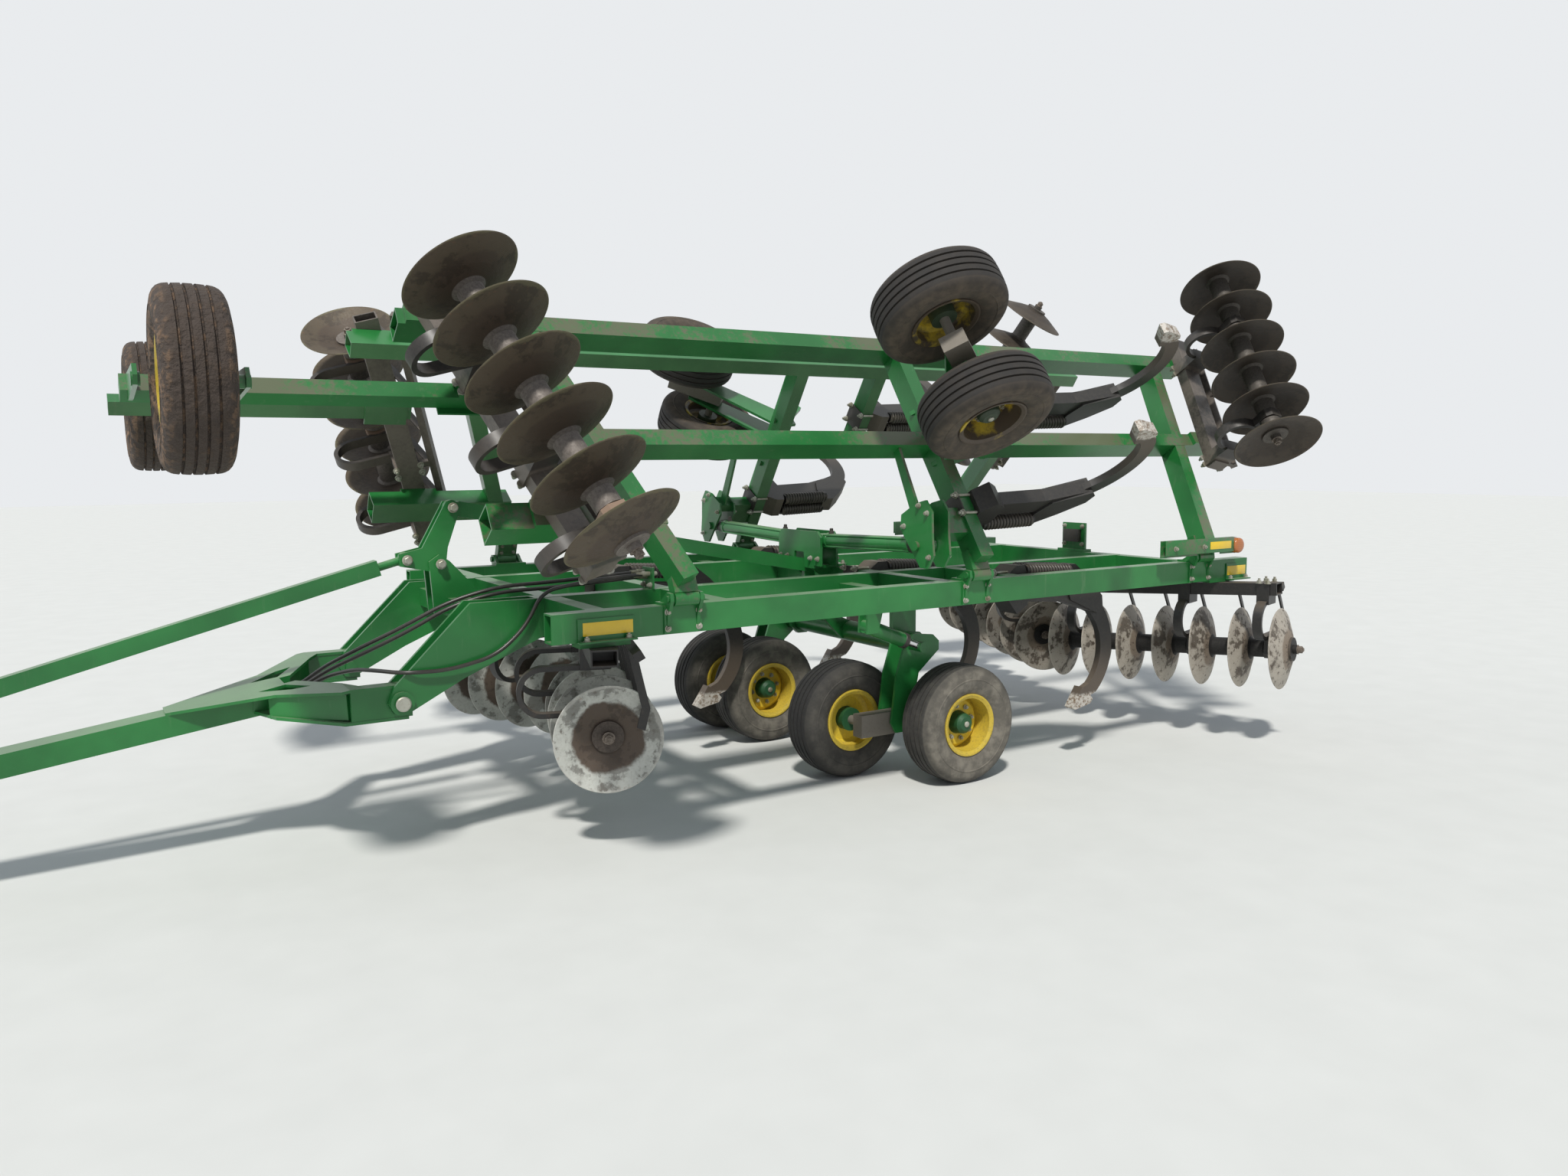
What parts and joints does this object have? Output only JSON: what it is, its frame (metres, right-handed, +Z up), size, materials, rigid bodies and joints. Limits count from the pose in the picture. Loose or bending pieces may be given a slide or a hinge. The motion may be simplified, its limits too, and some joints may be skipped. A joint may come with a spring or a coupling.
{
  "type": "folded disc ripper",
  "caption": "Towed primary tillage machine parked with its wings folded: disc gangs ahead and behind, spring reset ripper shanks between, on walking tandem wheels.",
  "frame": {"origin": "on the ground under the middle of the whole length, on the middle plane", "axes": "+X the driving direction, +Y the machine's left, +Z up"},
  "size_m": [9.7441, 4.6394, 3.6002],
  "materials": {
    "green_paint": "gloss, dusty",
    "black_paint": "satin, worn",
    "grey_steel": "rough, dusty",
    "disc_steel": "weathered, earth stained",
    "yellow_paint": "gloss, dusty",
    "tyre": "matt, dusty",
    "rubber_hose": "satin, dusty",
    "chrome_rod": "polished"
  },
  "bodies": {
    "centre": {"main_frame": "green_paint", "cross_tubes": "green_paint", "hinge_stands": "green_paint", "frame_plates": "green_paint", "fold_mast": "green_paint", "tongue": "green_paint", "tongue_arms": "green_paint", "hoses": "rubber_hose", "jack": "black_paint", "front_mast": "green_paint", "level_link": "green_paint", "walking_beams": "grey_steel", "wheel_legs": "green_paint", "hangers_centre": "black_paint", "rippers_centre": "black_paint"},
    "wing_left": {"wing_frame_left": "green_paint", "wing_rails_left": "green_paint", "fold_plates_left": "green_paint", "wing_axle_left": "grey_steel", "hangers_wing_left": "black_paint", "rippers_wing_left": "black_paint"},
    "fold_barrel_left": {"fold_barrel_left": "green_paint"},
    "fold_rod_left": {"fold_rod_left": "chrome_rod"},
    "gang_centre_front_left": {"gang_centre_front_left": "disc_steel"},
    "gang_centre_rear_left": {"gang_centre_rear_left": "disc_steel"},
    "gang_wing_front_left": {"gang_wing_front_left": "disc_steel"},
    "gang_wing_rear_left": {"gang_wing_rear_left": "disc_steel"},
    "wheel_wing_inner_left": {"tyre_wing_inner_left": "tyre", "rim_wing_inner_left": "yellow_paint"},
    "wheel_wing_outer_left": {"tyre_wing_outer_left": "tyre", "rim_wing_outer_left": "yellow_paint"},
    "wheel_gauge_left": {"tyre_gauge_left": "tyre", "rim_gauge_left": "yellow_paint"},
    "wing_right": {"wing_frame_right": "green_paint", "wing_rails_right": "green_paint", "fold_plates_right": "green_paint", "wing_axle_right": "grey_steel", "hangers_wing_right": "black_paint", "rippers_wing_right": "black_paint"},
    "fold_barrel_right": {"fold_barrel_right": "green_paint"},
    "fold_rod_right": {"fold_rod_right": "chrome_rod"},
    "gang_centre_front_right": {"gang_centre_front_right": "disc_steel"},
    "gang_centre_rear_right": {"gang_centre_rear_right": "disc_steel"},
    "gang_wing_front_right": {"gang_wing_front_right": "disc_steel"},
    "gang_wing_rear_right": {"gang_wing_rear_right": "disc_steel"},
    "wheel_wing_inner_right": {"tyre_wing_inner_right": "tyre", "rim_wing_inner_right": "yellow_paint"},
    "wheel_wing_outer_right": {"tyre_wing_outer_right": "tyre", "rim_wing_outer_right": "yellow_paint"},
    "wheel_gauge_right": {"tyre_gauge_right": "tyre", "rim_gauge_right": "yellow_paint"},
    "wheel_left_inner": {"tyre_left_inner": "tyre", "rim_left_inner": "yellow_paint"},
    "wheel_left_outer": {"tyre_left_outer": "tyre", "rim_left_outer": "yellow_paint"},
    "wheel_right_inner": {"tyre_right_inner": "tyre", "rim_right_inner": "yellow_paint"},
    "wheel_right_outer": {"tyre_right_outer": "tyre", "rim_right_outer": "yellow_paint"}
  },
  "joints": [
    {"name": "fold_left", "type": "hinge", "parent": "centre", "child": "wing_left", "pos_m": [0, 1.45, 1.42], "axis": [1, 0, 0], "range_deg": [-123.7, 0]},
    {"name": "fold_barrel_turn_left", "type": "hinge", "parent": "centre", "child": "fold_barrel_left", "pos_m": [-1.433, 0.2, 1.575], "axis": [1, 0, 0], "range_deg": [-13, 0]},
    {"name": "fold_rod_slide_left", "type": "slide", "parent": "fold_barrel_left", "child": "fold_rod_left", "axis": [0, 0.9995, 0.03], "range_m": [0, 0.45]},
    {"name": "spin_centre_front_left", "type": "hinge", "parent": "centre", "child": "gang_centre_front_left", "pos_m": [0.327, 0.215, 0.64], "axis": [0.3064, 0.9519, 0], "continuous": true},
    {"name": "spin_centre_rear_left", "type": "hinge", "parent": "centre", "child": "gang_centre_rear_left", "pos_m": [-3.963, 0.172, 0.637], "axis": [-0.3117, 0.9486, 0.0542], "continuous": true},
    {"name": "spin_wing_front_left", "type": "hinge", "parent": "wing_left", "child": "gang_wing_front_left", "pos_m": [0.907, 2.1031, 1.78344], "axis": [0.304, -0.5286, 0.7926], "continuous": true},
    {"name": "spin_wing_rear_left", "type": "hinge", "parent": "wing_left", "child": "gang_wing_rear_left", "pos_m": [-4.253, 1.75909, 2.29925], "axis": [-0.2393, -0.5387, 0.8078], "continuous": true},
    {"name": "roll_wing_inner_left", "type": "hinge", "parent": "wing_left", "child": "wheel_wing_inner_left", "pos_m": [-1.543, 1.71885, 2.44069], "axis": [0, -0.5548, 0.832], "continuous": true},
    {"name": "roll_wing_outer_left", "type": "hinge", "parent": "wing_left", "child": "wheel_wing_outer_left", "pos_m": [-1.313, 1.56621, 3.01201], "axis": [0, -0.5548, 0.832], "continuous": true},
    {"name": "roll_gauge_left", "type": "hinge", "parent": "wing_left", "child": "wheel_gauge_left", "pos_m": [2.546, 1.33777, 2.48944], "axis": [1, 0, 0], "continuous": true},
    {"name": "fold_right", "type": "hinge", "parent": "centre", "child": "wing_right", "pos_m": [0, -1.45, 1.42], "axis": [1, 0, 0], "range_deg": [0, 123.7]},
    {"name": "fold_barrel_turn_right", "type": "hinge", "parent": "centre", "child": "fold_barrel_right", "pos_m": [-1.433, -0.2, 1.575], "axis": [1, 0, 0], "range_deg": [0, 13]},
    {"name": "fold_rod_slide_right", "type": "slide", "parent": "fold_barrel_right", "child": "fold_rod_right", "axis": [0, -0.9995, 0.03], "range_m": [0, 0.45]},
    {"name": "spin_centre_front_right", "type": "hinge", "parent": "centre", "child": "gang_centre_front_right", "pos_m": [0.327, -0.215, 0.64], "axis": [0.3064, -0.9519, 0], "continuous": true},
    {"name": "spin_centre_rear_right", "type": "hinge", "parent": "centre", "child": "gang_centre_rear_right", "pos_m": [-3.963, -0.172, 0.637], "axis": [-0.3117, -0.9486, 0.0542], "continuous": true},
    {"name": "spin_wing_front_right", "type": "hinge", "parent": "wing_right", "child": "gang_wing_front_right", "pos_m": [0.907, -2.1031, 1.78344], "axis": [0.304, 0.5286, 0.7926], "continuous": true},
    {"name": "spin_wing_rear_right", "type": "hinge", "parent": "wing_right", "child": "gang_wing_rear_right", "pos_m": [-4.253, -1.75909, 2.29925], "axis": [-0.2393, 0.5387, 0.8078], "continuous": true},
    {"name": "roll_wing_inner_right", "type": "hinge", "parent": "wing_right", "child": "wheel_wing_inner_right", "pos_m": [-1.543, -1.71885, 2.44069], "axis": [0, 0.5548, 0.832], "continuous": true},
    {"name": "roll_wing_outer_right", "type": "hinge", "parent": "wing_right", "child": "wheel_wing_outer_right", "pos_m": [-1.313, -1.56621, 3.01201], "axis": [0, 0.5548, 0.832], "continuous": true},
    {"name": "roll_gauge_right", "type": "hinge", "parent": "wing_right", "child": "wheel_gauge_right", "pos_m": [2.546, -1.33777, 2.48944], "axis": [1, 0, 0], "continuous": true},
    {"name": "roll_left_inner", "type": "hinge", "parent": "centre", "child": "wheel_left_inner", "pos_m": [-1.343, 0.57, 0.395], "axis": [0, 1, 0], "continuous": true},
    {"name": "roll_left_outer", "type": "hinge", "parent": "centre", "child": "wheel_left_outer", "pos_m": [-1.893, 1.11, 0.395], "axis": [0, 1, 0], "continuous": true},
    {"name": "roll_right_inner", "type": "hinge", "parent": "centre", "child": "wheel_right_inner", "pos_m": [-1.403, -0.57, 0.395], "axis": [0, 1, 0], "continuous": true},
    {"name": "roll_right_outer", "type": "hinge", "parent": "centre", "child": "wheel_right_outer", "pos_m": [-1.343, -1.11, 0.395], "axis": [0, 1, 0], "continuous": true}
  ],
  "couplings": [
    {"joint": "fold_barrel_turn_left", "follows": "fold_left", "ratio": 0.060688},
    {"joint": "fold_rod_slide_left", "follows": "fold_left", "m_per_rad": -0.17085},
    {"joint": "fold_barrel_turn_right", "follows": "fold_right", "ratio": 0.060688},
    {"joint": "fold_rod_slide_right", "follows": "fold_right", "m_per_rad": 0.17085}
  ]
}
